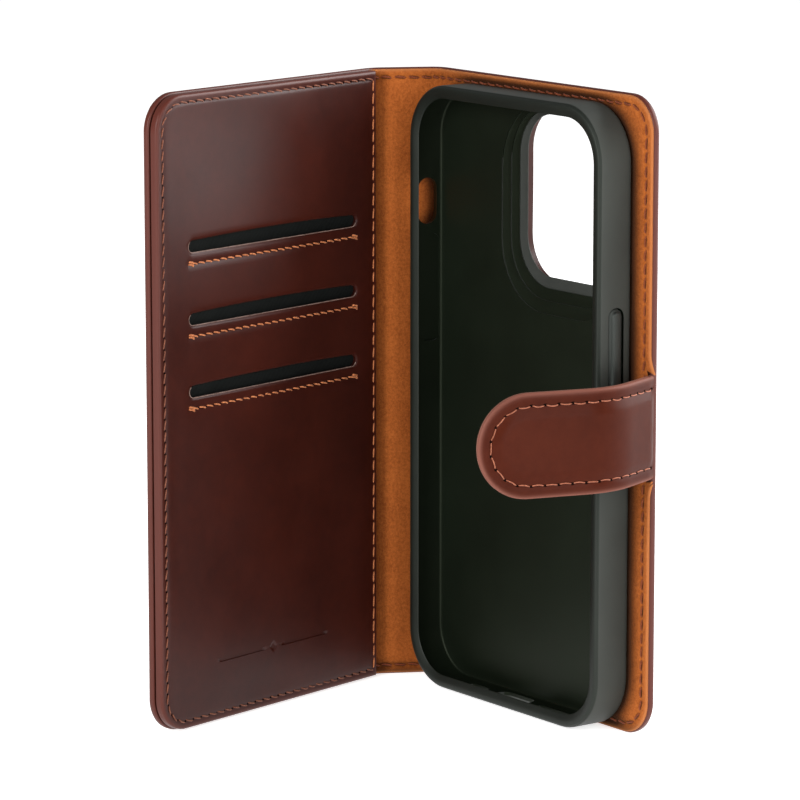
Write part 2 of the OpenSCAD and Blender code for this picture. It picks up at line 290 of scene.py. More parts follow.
def woven(name, dark, light):
    look = Finish(name, Sheen_Weight=0.03, Specular_IOR_Level=0.1)
    weave = [look.nodes.new("ShaderNodeTexWave") for _ in range(2)]
    for node, direction in zip(weave, ("X", "Z")):
        node.bands_direction = direction
        node.inputs["Scale"].default_value = 900
        node.inputs["Distortion"].default_value = 1.5
        look.links.new(look.place, node.inputs["Vector"])
    cross = look.mix(0.5, weave[0].outputs["Color"], weave[1].outputs["Color"])
    look.colour(look.ramp(cross, (0.25, dark), (0.8, light)))
    look.roughness(cross, 0.85, 0.95)
    look.bump((cross, 0.25, 0.00006))
    return look.material


def plain(name, dark, light, scale, low, high, metal=0.0, specular=0.4):
    look = Finish(name, Metallic=metal, Specular_IOR_Level=specular)
    grain = look.noise(scale, 4, 0.6)
    look.colour(look.ramp(grain, (0.3, dark), (0.7, light)))
    look.roughness(grain, low, high)
    look.bump((grain, 0.3, 0.0001))
    return look.material


# The last colour of each leather and of the suede is a painted highlight along the rounded edges
COVER_LEATHER = leather("cover_leather", (0.024, 0.0038, 0.0022), (0.046, 0.0076, 0.0040),
    (0.085, 0.019, 0.012), 0.3, 0.25)
STRAP_LEATHER = leather("strap_leather", (0.038, 0.0060, 0.0020), (0.057, 0.0100, 0.0037),
    (0.19, 0.074, 0.054), 0.26, 0.05, 0.03)
BACKING_LEATHER = leather("strap_backing", (0.05, 0.011, 0.006), (0.075, 0.018, 0.010),
    (0.24, 0.11, 0.08), 0.5, 0.05)
SUEDE = suede("lining_suede", (0.200, 0.044, 0.0065), (0.42, 0.116, 0.022), (0.36, 0.125, 0.040))
# One moulding in three copies: a lighter one for the outer walls as painted light, darker ones for the lip's front
# rim and the inside as painted shade
SHELL_WALL_LIT = soft_plastic("shell_plastic_lit_wall", (0.022, 0.0240, 0.0215), 0.5, 0.64, 0.32)
SHELL_RIM_SHADED = soft_plastic("shell_rim_painted_shade", (0.0040, 0.0054, 0.0040), 0.44, 0.58, 0.34)
SHELL_INSIDE_SHADED = soft_plastic("shell_inside_painted_shade", (0.0020, 0.0034, 0.0018), 0.44, 0.58, 0.24,
    (0.86, 1.0, 0.70))
BUTTON_PLASTIC = soft_plastic("button_plastic", (0.0095, 0.0115, 0.0108), 0.5, 0.62)
COPPER_THREAD = thread("copper_thread", (0.26, 0.070, 0.022), (0.56, 0.20, 0.075))
STRAP_THREAD = thread("strap_thread", (0.18, 0.050, 0.024), (0.38, 0.13, 0.068))
DULL_THREAD = thread("dull_thread", (0.085, 0.024, 0.013), (0.24, 0.085, 0.046))
LINING_THREAD = thread("lining_thread", (0.10, 0.018, 0.0045), (0.22, 0.048, 0.012))
POCKET_CLOTH = woven("pocket_cloth", (0.001, 0.0014, 0.0012), (0.0042, 0.0052, 0.0046))
RAW_EDGE = plain("raw_edge", (0.11, 0.062, 0.048), (0.26, 0.17, 0.14), 900, 0.6, 0.8)
NEEDLE_HOLE = plain("needle_hole", (0.003, 0.001, 0.0008), (0.009, 0.003, 0.002), 900, 0.9, 1.0,
    specular=0.02)
PAD_FOAM = plain("pad_foam", (0.55, 0.53, 0.50), (0.72, 0.70, 0.67), 1200, 0.85, 0.95)
STEEL = plain("steel", (0.36, 0.37, 0.38), (0.55, 0.56, 0.58), 300, 0.25, 0.4, 1.0)


# ---------- Curved layout ----------

class Course:
    """A line through corners in plan, rounded at each. u runs along it and n stands off it."""

    def __init__(self, corners, angles, widths):
        self.corners = [(u, np.array(point)) for u, point in corners]
        self.angles, self.widths = angles, widths

    def at(self, u):
        for i, ((u0, point), width) in enumerate(zip(self.corners, self.widths)):
            if abs(u - u0) < width:
                before, after = self.angles[i], self.angles[i + 1]
                turn = 1 if after > before else -1
                radius = width / math.tan(math.radians(abs(after - before)) / 2)
                centre = point - width * heading(before) - turn * radius * facing(before)
                angle = before + (after - before) * (u - u0 + width) / (2 * width)
                return centre + turn * radius * facing(angle), facing(angle)
        part = sum(1 for u0, _ in self.corners if u > u0)
        u0, point = self.corners[max(part - 1, 0)]
        return point + (u - u0) * heading(self.angles[part]), facing(self.angles[part])

    def place(self, u, n, z):
        point, normal = self.at(u)
        x, y = point + n * normal
        return Vector((x, y, z)) * MM


COVER = Course([(0, fold_back), (SPINE_W, fold_front)], [180, SPINE_ANGLE, FRONT_ANGLE], [3.0, 2.8])
STRAP = Course([(SIDE_W, strap_bend)], [SIDE_ANGLE, TONGUE_ANGLE], [7.0])


def stations(low, high, step, *exact):
    """Places from low to high: the exact ones, and others about a step apart."""
    keep = sorted({round(v, 4) for v in (low, high, *exact) if low - 1e-6 <= v <= high + 1e-6})
    fill = []
    for a, b in zip(keep, keep[1:]):
        count = max(1, round((b - a) / step))
        fill += [a + (b - a) * i / count for i in range(count)]
    return np.array(fill + [keep[-1]])


def near_edge(radius):
    """Distances from an edge that follow its rounding."""
    return [radius * f for f in (0, 0.08, 0.22, 0.42, 0.68, 1.0)] + [radius * 1.6]


def seam_lines(inset):
    return [inset - 1.2, inset - 0.6, inset - 0.25, inset, inset + 0.25, inset + 0.6, inset + 1.2]


def rounding(depth, radius):
    inside = radius - np.clip(depth, 0, radius)
    return radius - np.sqrt(np.maximum(radius**2 - inside**2, 0))


def seam_relief(depth, inset, deep):
    """The leather sinks under its stitching and swells on each side."""
    off = depth - inset
    swell = np.exp(-(((off - 1.7) / 1.1) ** 2)) + np.exp(-(((off + 1.3) / 0.7) ** 2))
    return deep * (0.25 * swell - np.exp(-((off / 0.45) ** 2)))


def ripple(U, Z, height, seed, size=22.0):
    """Slow unevenness, so that the reflections are those of leather and not of glass."""
    out = np.empty(U.shape)
    for index in np.ndindex(U.shape):
        out[index] = noise.noise(Vector((U[index] / size, Z[index] / size, seed)))
    return height * out


class Page:
    """Outline of a panel: square towards the fold at u_fold, rounded at the free edge u_free."""

    def __init__(self, u_fold, u_free, inset, radius, fold_is_edge=False, low=0.0, high=None):
        self.u_fold, self.u_free, self.radius = u_fold, u_free, radius
        self.low, self.high = low + inset, (COVER_H if high is None else high) - inset
        self.fold_is_edge = fold_is_edge

    def span(self, u):
        rest = np.minimum(np.abs(self.u_free - u), self.radius)
        lift = self.radius - np.sqrt(np.maximum(self.radius**2 - (self.radius - rest) ** 2, 0))
        return self.low + lift, self.high - lift

    def depth(self, U, Z):
        side = np.abs(self.u_free - U)
        level = np.minimum(Z - self.low, self.high - Z)
        out = np.minimum(side, level)
        r = self.radius
        corner = (side < r) & (level < r)
        out = np.where(corner, r - np.hypot(r - side, r - level), out)
        if self.fold_is_edge:
            out = np.minimum(out, np.abs(U - self.u_fold))
        return out

    def line(self, inset, u_start):
        """The stitching line: out along the top, down the free edge and back along the bottom."""
        r = max(self.radius - inset, 0.5)
        way = 1 if self.u_free > self.u_fold else -1
        u_end = self.u_free - way * inset
        points = [(u_start, self.high - inset)]
        for corner_z, turn in ((self.high - inset - r, 1), (self.low + inset + r, -1)):
            arc = [math.radians(a) for a in np.linspace(90, 0, 13)]
            arc = arc if turn > 0 else arc[::-1]
            points += [(u_end - way * r + way * r * math.cos(a), corner_z + turn * r * math.sin(a))
                for a in arc]
        return points + [(u_start, self.low + inset)]


class RoundHole:
    """A rounded rectangle, or a slot with round ends, cut exactly along the grid."""

    def __init__(self, u, z, half_u, half_z, radius, steps):
        self.u, self.z, self.half_u, self.half_z, self.radius = u, z, half_u, half_z, radius
        self.steps = steps

    def outside(self, U, Z):
        qu = np.abs(U - self.u) - (self.half_u - self.radius)
        qz = np.abs(Z - self.z) - (self.half_z - self.radius)
        return (np.hypot(np.maximum(qu, 0), np.maximum(qz, 0))
            + np.minimum(np.maximum(qu, qz), 0) - self.radius)

    def lines(self, centre, half):
        flat = half - self.radius
        turns = [math.radians(90 * i / self.steps) for i in range(self.steps + 1)]
        return [centre + s * (flat + self.radius * math.cos(a)) for a in turns for s in (-1, 1)]

    def lines_u(self):
        return self.lines(self.u, self.half_u)

    def lines_z(self):
        return self.lines(self.z, self.half_z)


# ---------- Mesh making ----------

SHARP_ANGLE = 55


def finish_mesh(name, verts, faces, material, edge=None):
    mesh = bpy.data.meshes.new(name)
    mesh.from_pydata([tuple(v) for v in verts], [], faces)
    # The edge values are the mask of the painted highlight along rounded edges
    if edge is not None:
        mesh.attributes.new("edge", "FLOAT", "POINT").data.foreach_set("value", edge)
    bm = bmesh.new()
    bm.from_mesh(mesh)
    loose = [v for v in bm.verts if not v.link_faces]
    bmesh.ops.delete(bm, geom=loose, context="VERTS")
    bmesh.ops.recalc_face_normals(bm, faces=bm.faces)
    bm.to_mesh(mesh)
    bm.free()
    mesh.shade_smooth()
    mesh.set_sharp_from_angle(angle=math.radians(SHARP_ANGLE))
    mesh.materials.append(material)
    made = bpy.data.objects.new(name, mesh)
    scene.collection.objects.link(made)
    return made


def slab(name, course, us, rows, span, top, bottom, material, holes=(), warp=None, edge=None,
        shift=None):
    """A closed sheet over a grid. top and bottom give how far each face stands off the course."""
    low, high = span(us)
    Z = low[:, None] + (high - low)[:, None] * rows[None, :]
    U = np.repeat(us[:, None], len(rows), axis=1)
    sign = np.full(U.shape, 1.0)
    for hole in holes:
        sign = np.minimum(sign, hole.outside(U, Z))
    upper, lower = top(U, Z), bottom(U, Z)
    # Mask of the painted highlight along the sheet's edges
    highlight_mask = edge(U, Z) if edge else np.zeros(U.shape)
    if warp:
        Z = Z + warp(U, Z)
    spots = [course.at(u) for u in us]
    P = np.array([s[0] for s in spots])[:, None, :]
    N = np.array([s[1] for s in spots])[:, None, :]
    verts = []
    along = np.array([(-s[1][1], s[1][0]) for s in spots])[:, None, :]
    slide = shift(U, Z)[:, :, None] * along if shift else 0.0
    for height in (upper, lower):
        flat = P + height[:, :, None] * N + slide
        verts.append(np.dstack([flat, Z]).reshape(-1, 3) * MM)
    verts = np.vstack(verts)
    count = U.size
    wide = len(rows)
    inside = (sign < -1e-3).ravel()
    near = (np.abs(sign) <= 1e-3).ravel()
    cells = []
    for i in range(len(us) - 1):
        for j in range(wide - 1):
            quad = [i * wide + j, (i + 1) * wide + j, (i + 1) * wide + j + 1, i * wide + j + 1]
            within = sum(1 for v in quad if inside[v])
            beyond = [v for v in quad if not inside[v] and not near[v]]
            if within == 0 and beyond:
                cells.append(quad)
            elif within == 1 and len(beyond) == 1:
                cells.append([v for v in quad if not inside[v]])
    rim = {}
    for face in cells:
        for a, b in zip(face, face[1:] + face[:1]):
            if (b, a) in rim:
                del rim[(b, a)]
            else:
                rim[(a, b)] = True
    faces = [list(face) for face in cells]
    faces += [[v + count for v in face[::-1]] for face in cells]
    faces += [[b, a, a + count, b + count] for a, b in rim]
    highlight_masks = np.concatenate([highlight_mask.ravel(), highlight_mask.ravel()]).astype(np.float32)
    return finish_mesh(name, verts, faces, material, highlight_masks)


def tube_parts(verts, faces, centres, sides, radii, up):
    """Adds one closed tube along the centres to the lists."""
    start = len(verts)
    count = len(centres)
    for k, centre in enumerate(centres):
        ahead = centres[min(k + 1, count - 1)] - centres[max(k - 1, 0)]
        across = ahead.cross(up[k]).normalized()
        above = across.cross(ahead).normalized()
        for s in range(sides):
            turn = 2 * math.pi * s / sides
            offset = (across * math.cos(turn) + above * math.sin(turn)) * radii[k]
            verts.append(centre + offset)
    for k in range(count - 1):
        for s in range(sides):
            a, b = start + k * sides + s, start + k * sides + (s + 1) % sides
            faces.append([a, b, b + sides, a + sides])
    faces.append([start + s for s in range(sides)][::-1])
    faces.append([start + (count - 1) * sides + s for s in range(sides)])


def walk(points, step):
    """Points a step apart along a line, with the line's direction at each."""
    points = [np.array(p, float) for p in points]
    lengths = [0.0]
    for a, b in zip(points, points[1:]):
        lengths.append(lengths[-1] + float(np.linalg.norm(b - a)))
    count = max(1, round(lengths[-1] / step))
    xs, zs = [p[0] for p in points], [p[1] for p in points]

    def spot(share):
        at = lengths[-1] * share
        return np.array([np.interp(at, lengths, xs), np.interp(at, lengths, zs)])

    return count, spot


def sew(name, course, lines, height, side, material, radius, pitch=3.2, slant=0.28, lift=0.2,
        gap=0.06, bow=0.12):
    """Single stitches along the lines. height is the leather's surface, side the way it faces."""
    verts, faces = [], []
    for line in lines:
        count, spot = walk(line, pitch)
        for k in range(count):
            wobble = noise.noise(Vector((k * 0.73, len(line) * 0.37, height)))
            centres, ups, radii = [], [], []
            for f in np.linspace(0, 1, 9):
                share = (k + gap + (1 - 2 * gap) * f) / count
                here, ahead = spot(share), spot(min(share + 0.002, 1.0)) - spot(max(share - 0.002, 0.0))
                ahead = ahead / max(np.linalg.norm(ahead), 1e-9)
                arch = math.sin(math.pi * f)
                aside = slant * (f - 0.5) + bow * arch * (1 + wobble)
                u = here[0] - ahead[1] * aside
                z = here[1] + ahead[0] * aside
                rise = height + side * (lift * min(1.0, 1.8 * arch) * (1 + 0.25 * wobble) - 0.1)
                centres.append(course.place(u, rise, z))
                normal = course.at(u)[1] * side
                ups.append(Vector((normal[0], normal[1], 0)))
                radii.append(radius * MM * (0.6 + 0.4 * min(1.0, 2 * arch)))
            tube_parts(verts, faces, centres, 7, radii, ups)
    return finish_mesh(name, verts, faces, material)


def needle_holes(name, course, lines, height, pitch, radius):
    """A dark dimple where each stitch goes in."""
    verts, faces = [], []
    for line in lines:
        count, spot = walk(line, pitch)
        for k in range(count + 1):
            u, z = spot(k / count)
            start = len(verts)
            for s in range(8):
                turn = 2 * math.pi * s / 8
                verts.append(course.place(u + radius * math.cos(turn), height + 0.02,
                    z + 0.85 * radius * math.sin(turn)))
            verts.append(course.place(u, height + 0.05, z))
            verts.append(course.place(u, height - 0.15, z))
            for s in range(8):
                t = (s + 1) % 8
                faces.append([start + s, start + t, start + 8])
                faces.append([start + t, start + s, start + 9])
    return finish_mesh(name, verts, faces, NEEDLE_HOLE)


def bend_back(piece):
    """The back half of the cover, already shaped round the spine fold: bakes its transform into its mesh."""
    COVER.place(-3.2, 0, 0)
    COVER.place(3.2, 0, 0)
    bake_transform(piece)


def bend_front(piece):
    """The front half of the cover, already shaped round the front fold: bakes its transform into its mesh."""
    COVER.place(SPINE_W - 3.0, 0, 0)
    COVER.place(SPINE_W + 2.4, 0, 0)
    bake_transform(piece)


def bend_strap(piece):
    STRAP.place(SIDE_W - 7, 0, 0)
    STRAP.place(SIDE_W + 7, 0, 0)
    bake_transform(piece)


# Painted highlight: a mask that is 0.85 at an outline's edge and fades inwards over reach
def edge_highlight(outline, reach=0.9):
    return lambda U, Z: 0.85 * np.exp(-((np.maximum(outline.depth(U, Z), 0) / reach) ** 2))


def level(value):
    return lambda U, Z: np.full(U.shape, float(value))


# ---------- Cover skins ----------

def camera_hole(margin):
    centre_u = fold_back[0] - sum(CAMERA_X) / 2
    return RoundHole(centre_u, sum(CAMERA_Z) / 2, (CAMERA_X[1] - CAMERA_X[0]) / 2 + margin,
        (CAMERA_Z[1] - CAMERA_Z[0]) / 2 + margin, CAMERA_R + margin, 12)


def rows_for(outline, step, radius, *exact):
    """Shares of the height, dense at the edges, with a row at each exact height."""
    tall = outline.high - outline.low
    ends = [v for d in near_edge(radius) + seam_lines(SEAM_INSET) for v in (d, tall - d)]
    return stations(0, tall, step, *ends, *[z - outline.low for z in exact]) / tall


def cover_grid(outline, radius, seam, holes):
    """Columns and rows of half the cover, dense at its fold, its edges, its seam and its holes."""
    u_fold, u_free = outline.u_fold, outline.u_free
    way = 1 if u_free > u_fold else -1
    lines = [u_free - way * d for d in near_edge(radius) + seam_lines(seam)]
    lines += [u for h in holes for u in h.lines_u()]
    fold = 0.0 if way < 0 else SPINE_W
    lines += [fold + d for d in np.arange(-4.0, 4.01, 0.5)]
    us = stations(min(u_fold, u_free), max(u_fold, u_free), COVER_STEP, *lines)
    return us, rows_for(outline, COVER_STEP, radius, *[z for h in holes for z in h.lines_z()])


def outer_skin(name, u_fold, u_free, holes):
    """Leather wrapped round the board: the outer face, the turned edges and the inside."""
    outline = Page(u_fold, u_free, 0.0, CORNER_R)
    radius = 0.8
    us, rows = cover_grid(outline, radius, SEAM_INSET, holes)

    def outer(U, Z):
        depth = outline.depth(U, Z)
        calm = np.clip(np.abs(U - u_fold) / 6, 0, 1) * np.clip(depth / 4, 0, 1)
        relief = seam_relief(depth, SEAM_INSET, 0.14) + calm * ripple(U, Z, 0.22, 1.0)
        return -LEATHER_HALF - relief + rounding(depth, radius)

    def inner(U, Z):
        return BOARD_TOP - rounding(outline.depth(U, Z), 0.5)

    return slab(name, COVER, us, rows, outline.span, inner, outer, COVER_LEATHER,
        holes, edge=edge_highlight(outline))


back_skin = outer_skin("cover_leather_back", MID_SPINE, -BACK_W, [camera_hole(COVER_MARGIN)])
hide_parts("back_outer_leather", "back_board", "spine_outer_leather", "spine_board")
bend_back(back_skin)
front_skin = outer_skin("cover_leather_front", MID_SPINE, SPINE_W + FRONT_W, [])
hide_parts("front_outer_leather", "front_board")
bend_front(front_skin)


# ---------- Suede lining ----------

LINING_INSET = 0.35
CARD_INSET = 0.4
CARD_SEAM = SEAM_INSET - CARD_INSET


def lining(name, u_fold, u_free, holes, draw_in=None):
    outline = Page(u_fold, u_free, LINING_INSET, CORNER_R - LINING_INSET)
    radius = 0.4
    seam = SEAM_INSET - LINING_INSET
    us, rows = cover_grid(outline, radius, seam, holes)

    def face(U, Z):
        depth = outline.depth(U, Z)
        return (LINING_TOP + seam_relief(depth, seam, 0.2) + ripple(U, Z, 0.1, 3.0, 9.0)
            - rounding(depth, radius))

    def tuck(U, Z):
        """The free edge draws in above and below the strap's root."""
        near = np.abs(Z - STRAP_Z) - (STRAP_HIGH - STRAP_LOW) / 2
        edge_share = np.clip(1 - np.abs(U - u_free) / 4, 0, 1)
        return 1.9 * edge_share * np.clip(1 - near / 5, 0, 1) ** 2 * (u_free < u_fold)

    made = slab(name, COVER, us, rows, outline.span, face, level(BOARD_TOP), SUEDE,
        holes, draw_in, edge_highlight(outline, 0.5), tuck)
    return made, (abs(u_free - u_fold) * MM, (COVER_H - 2 * LINING_INSET) * MM)


strap_notch = RoundHole(-BACK_W, STRAP_Z, 2.1, (STRAP_HIGH - STRAP_LOW) / 2 + 0.3, 0.4, 2)
back_lining, back_size = lining("lining_suede_back", MID_SPINE, LINING_INSET - BACK_W,
    [camera_hole(COVER_MARGIN), strap_notch])
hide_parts("back_lining", "spine_lining")
bend_back(back_lining)


def under_card_panel(U, Z):
    """Past the spine the lining stays within the card panel's edges."""
    share = np.clip((U - CARD_START - 0.2) / 2.0, 0, 1)
    return -share * (CARD_INSET + 0.9) * (Z / (COVER_H / 2) - 1)


front_lining, front_size = lining("lining_suede_front", MID_SPINE,
    SPINE_W + FRONT_W - CARD_INSET - 1.2, [], under_card_panel)
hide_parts("front_lining")
bend_front(front_lining)


# ---------- Card panel ----------

slots = {key: RoundHole(SLOT_X + SLOT_W / 2, z, SLOT_W / 2, SLOT_HALF, SLOT_HALF, 5)
    for key, z in SLOT_Z.items()}


def card_panel():
    outline = Page(CARD_START, CARD_END, CARD_INSET, CORNER_R - CARD_INSET, fold_is_edge=True)
    radius = 0.75
    u_lines = [CARD_END - d for d in near_edge(radius) + seam_lines(CARD_SEAM)]
    u_lines += [CARD_START + d for d in near_edge(radius) + [1.4, 1.9, 2.6, 3.1, 3.5]]
    u_lines += [u for s in slots.values() for u in s.lines_u()]
    u_lines += [SLOT_X - 0.25, SLOT_X - 0.6, SLOT_X + SLOT_W + 0.25, SLOT_X + SLOT_W + 0.6]
    u_lines += [EMBOSS_U + d for d in np.arange(-1.5, 1.51, 0.25)]
    for side in (-1, 1):
        for end in (RULE_START, RULE_START + RULE_W):
            u_lines += [EMBOSS_U + side * (end + d) for d in (-0.1, 0.1)]
    z_lines = [z for s in slots.values() for z in s.lines_z()]
    for z in SLOT_Z.values():
        z_lines += [z + s * (SLOT_HALF + d) for s in (-1, 1) for d in (0.15, 0.35, 0.7)]
        z_lines += [z - SLOT_STITCH_DROP + d for d in (-0.7, -0.3, 0, 0.3, 0.7)]
    z_lines += [EMBOSS_Z + d for d in np.arange(-1.5, 1.51, 0.25)]
    z_lines += [EMBOSS_Z + d for d in (-0.42, -0.34, 0.34, 0.42)]
    us = stations(CARD_START, CARD_END, 1.2, *u_lines)
    rows = rows_for(outline, 1.2, radius, *z_lines)

    def face(U, Z):
        depth = outline.depth(U, Z)
        calm = np.clip(depth / 5, 0, 1)
        out = CARD_N + seam_relief(depth, CARD_SEAM, 0.13) + calm * ripple(U, Z, 0.3, 5.0, 26.0)
        out = out - rounding(depth, radius)
        out = out - 0.1 * np.exp(-(((U - CREASE_U) / 0.6) ** 2)) * np.clip(depth / 4, 0, 1)
        for key, hole in slots.items():
            gap = np.maximum(hole.outside(U, Z), 0)
            out = out - 0.3 * np.exp(-((gap / 0.3) ** 2))
            below = Z - (SLOT_Z[key] - SLOT_STITCH_DROP)
            along = (U > SLOT_X - 0.5) & (U < SLOT_X + SLOT_W + 0.5)
            out = out - np.where(along, 0.16 * np.exp(-((below / 0.5) ** 2)), 0)
        offset, rise = np.abs(U - EMBOSS_U), Z - EMBOSS_Z
        rule = (offset > RULE_START) & (offset < RULE_START + RULE_W) & (np.abs(rise) < 0.38)
        mark = np.clip((1.3 - offset - np.abs(rise)) / 0.25, 0, 1)
        return out - 0.24 * np.maximum(rule, mark)

    def bow(U, Z):
        """Each slot's upper lip rises a little towards its middle."""
        share = np.clip((U - SLOT_X) / SLOT_W, 0, 1)
        out = np.zeros(U.shape)
        for z in SLOT_Z.values():
            above = Z - (z + SLOT_HALF)
            near = np.where(above > 0, np.clip(1 - above / 8, 0, 1), np.clip(1 + above / 2.6, 0, 1))
            out += 0.55 * 4 * share * (1 - share) * near
        return out

    made = slab("card_panel", COVER, us, rows, outline.span, face, level(CARD_LOW), COVER_LEATHER,
        list(slots.values()), bow, edge_highlight(outline))
    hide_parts("card_panel_leather")
    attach(made, "front")
    return outline


card_outline = card_panel()


POCKET_DROP, POCKET_RISE = 7, 4


def pocket(key):
    """Cloth behind a slot, and the raw edge of the leather along its lower lip."""
    z = SLOT_Z[key]
    low, high = SLOT_X - 1.5, SLOT_X + SLOT_W + 1.5
    outline = Page(low, high, 0.0, 0.6, True, z - POCKET_DROP, z + POCKET_RISE)
    us = stations(low, high, 1.5)
    rows = stations(0, 1, 0.06)
    cloth = slab("pocket_cloth_" + key, COVER, us, rows, outline.span,
        lambda U, Z: 2.75 + 0.25 * np.sin((Z - z) * 0.7) + ripple(U, Z, 0.25, z, 5.0),
        level(1.95), POCKET_CLOTH)
    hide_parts("pocket_lining_" + key)
    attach(cloth, "front")
    inner = SLOT_HALF - 0.06
    left, right = SLOT_X + SLOT_HALF, SLOT_X + SLOT_W - SLOT_HALF
    points = [(left + inner * math.cos(a), z + inner * math.sin(a))
        for a in np.linspace(math.radians(200), math.radians(270), 7)]
    points += [(left + (right - left) * i / 40, z - inner) for i in range(1, 40)]
    points += [(right + inner * math.cos(a), z + inner * math.sin(a))
        for a in np.linspace(math.radians(-90), math.radians(55), 12)]
    verts, faces = [], []
    normal = facing(FRONT_ANGLE)
    up = Vector((normal[0], normal[1], 0))
    centres = [COVER.place(u, CARD_N - 0.3, v) for u, v in points]
    tube_parts(verts, faces, centres, 8, [0.12 * MM] * len(points), [up] * len(points))
    lip = finish_mesh("slot_raw_edge_" + key, verts, faces, RAW_EDGE)
    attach(lip, "front")


for slot_name in SLOT_Z:
    pocket(slot_name)


# ---------- Stitching ----------

def knots(u, z):
    """Short stitches piled up where a row of stitching ends."""
    return [[(u - 1.1, z + dz), (u + 1.1, z + dz + tilt)]
        for dz, tilt in ((-0.45, 0.3), (-0.1, -0.2), (0.25, 0.2), (0.5, -0.3))]


def stitch_cover():
    """The same row of holes carries a stitch on the outer leather and one on the lining."""
    back = Page(MID_SPINE, -BACK_W, 0, CORNER_R)
    front = Page(MID_SPINE, SPINE_W + FRONT_W, 0, CORNER_R)
    line = back.line(SEAM_INSET, MID_SPINE)
    made = sew("seam_outer_back", COVER, [line], 0.12 - LEATHER_HALF, -1, DULL_THREAD, radius=0.2)
    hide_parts("spine_seam_thread")
    bend_back(made)
    made = sew("seam_outer_front", COVER, [front.line(SEAM_INSET, MID_SPINE)],
        0.12 - LEATHER_HALF, -1, DULL_THREAD, radius=0.2)
    bend_front(made)
    long_stitch = {"pitch": 3.3, "slant": 0.35, "radius": 0.23, "lift": 0.22, "gap": 0.1}
    made = sew("seam_lining_back", COVER, [line], LINING_TOP - 0.16, 1, LINING_THREAD, **long_stitch)
    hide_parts("back_seam_thread")
    bend_back(made)
    ends = [[(MID_SPINE, z), (CARD_START - 0.3, z)] for z in (SEAM_INSET, COVER_H - SEAM_INSET)]
    made = sew("seam_lining_front", COVER, ends, LINING_TOP - 0.16, 1, LINING_THREAD, **long_stitch)
    bend_front(made)


def stitch_card_panel():
    u = CARD_START + 1.4
    line = card_outline.line(CARD_SEAM, u)
    made = sew("seam_card_panel", COVER, [line], CARD_N - 0.13, 1, DULL_THREAD, pitch=2.8,
        slant=0.6, radius=0.19, lift=0.24)
    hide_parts("front_seam_thread")
    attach(made, "front")
    holes = needle_holes("card_needle_holes", COVER, [line], CARD_N - 0.13, 2.8, 0.34)
    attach(holes, "front")
    ends = (COVER_H - SEAM_INSET, SEAM_INSET)
    made = sew("seam_spine_side", COVER, [[(u, z) for z in ends]], CARD_N - 0.1, 1, COPPER_THREAD,
        slant=0.2, radius=0.2, lift=0.18)
    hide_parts("spine_edge_thread")
    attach(made, "front")
    for key, z in SLOT_Z.items():
        row = z - SLOT_STITCH_DROP
        line = [(SLOT_X + 0.6, row), (SLOT_X + SLOT_W - 0.6, row)]
        lines = [line] + knots(SLOT_X + 0.6, row) + knots(SLOT_X + SLOT_W - 0.8, row)
        made = sew("slot_stitches_" + key, COVER, lines, CARD_N - 0.14, 1, COPPER_THREAD,
            pitch=2.6, slant=0.5, radius=0.21, lift=0.3)
        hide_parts("slot_thread_" + key)
        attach(made, "front")
        holes = needle_holes("slot_needle_holes_" + key, COVER, [line], CARD_N - 0.15, 2.6, 0.26)
        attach(holes, "front")


stitch_cover()
stitch_card_panel()


# ---------- Strap ----------

def strap():
    end = SIDE_W + TONGUE_W
    half = (STRAP_HIGH - STRAP_LOW) / 2
    outline = Page(-0.8, end, 0.0, half - 0.01, low=STRAP_LOW, high=STRAP_HIGH)
    seam = STRAP_SEAM
    radius = 0.75
    tip = [end - d for d in near_edge(radius) + seam_lines(seam) + [half * f for f in
        (0.06, 0.12, 0.18, 0.26, 0.34, 0.44, 0.56, 0.7, 0.85, 1.0)]]
    us = stations(-0.8, end, 0.9, *tip)
    tall = STRAP_HIGH - STRAP_LOW
    ends = [v for d in near_edge(radius) + seam_lines(seam) for v in (d, tall - d)]
    rows = stations(0, tall, 0.7, *ends) / tall

    def face(U, Z):
        depth = outline.depth(U, Z)
        puff = np.clip((depth - seam) / 3.2, 0, 1)
        puff = puff * puff * (3 - 2 * puff)
        root = np.clip((U + 0.8) / 2.5, 0, 1)
        return (0.55 + 0.3 * root + 0.62 * puff * root + seam_relief(depth, seam, 0.16)
            + ripple(U, Z, 0.08, 7.0, 12.0) - rounding(depth, radius))

    def back_face(U, Z):
        return -STRAP_HALF + rounding(outline.depth(U, Z), 0.6)

    top = slab("strap_leather", STRAP, us, rows, outline.span, face, level(0.0), STRAP_LEATHER,
        edge=edge_highlight(outline, 0.7))
    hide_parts("strap_side_leather", "strap_tongue_leather")
    bend_strap(top)
    under = slab("strap_backing", STRAP, us, rows, outline.span, level(0.0), back_face,
        BACKING_LEATHER, edge=edge_highlight(outline, 0.5))
    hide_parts("strap_side_lining", "strap_tongue_lining")
    bend_strap(under)
    line = outline.line(seam, 0.8)
    stitches = sew("strap_stitches", STRAP, [line], 0.71, 1, STRAP_THREAD, pitch=STRAP_PITCH,
        slant=0.15, radius=0.15, lift=0.2, gap=0.03, bow=-0.25)
    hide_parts("strap_side_thread", "strap_tongue_thread")
    bend_strap(stitches)
    holes = needle_holes("strap_needle_holes", STRAP, [line], 0.74, STRAP_PITCH, 0.5)
    bend_strap(holes)


strap()


# ---------- Phone shell ----------

# Depth of the wells that the buttons sit in, and of the recess behind the volume buttons
BUTTON_WELL, VOLUME_FLOOR = 1.35, 1.4
BUTTON_GAP = 0.3
# How far the mute hole and the bottom openings widen outwards
MUTE_FLARE, PORT_FLARE = 0.7, 1.5


def rounded_ring(left, low, right, high, radius, y, arc):
    """Points round a rounded rectangle in the x-z plane, at depth y."""
    ring = []
    for cx, cz, start in ((right - radius, high - radius, 0), (left + radius, high - radius, 90),
            (left + radius, low + radius, 180), (right - radius, low + radius, 270)):
        for k in range(arc + 1):
            turn = math.radians(start + 90 * k / arc)
            ring.append(Vector((cx + radius * math.cos(turn), y, cz + radius * math.sin(turn))))
    return ring


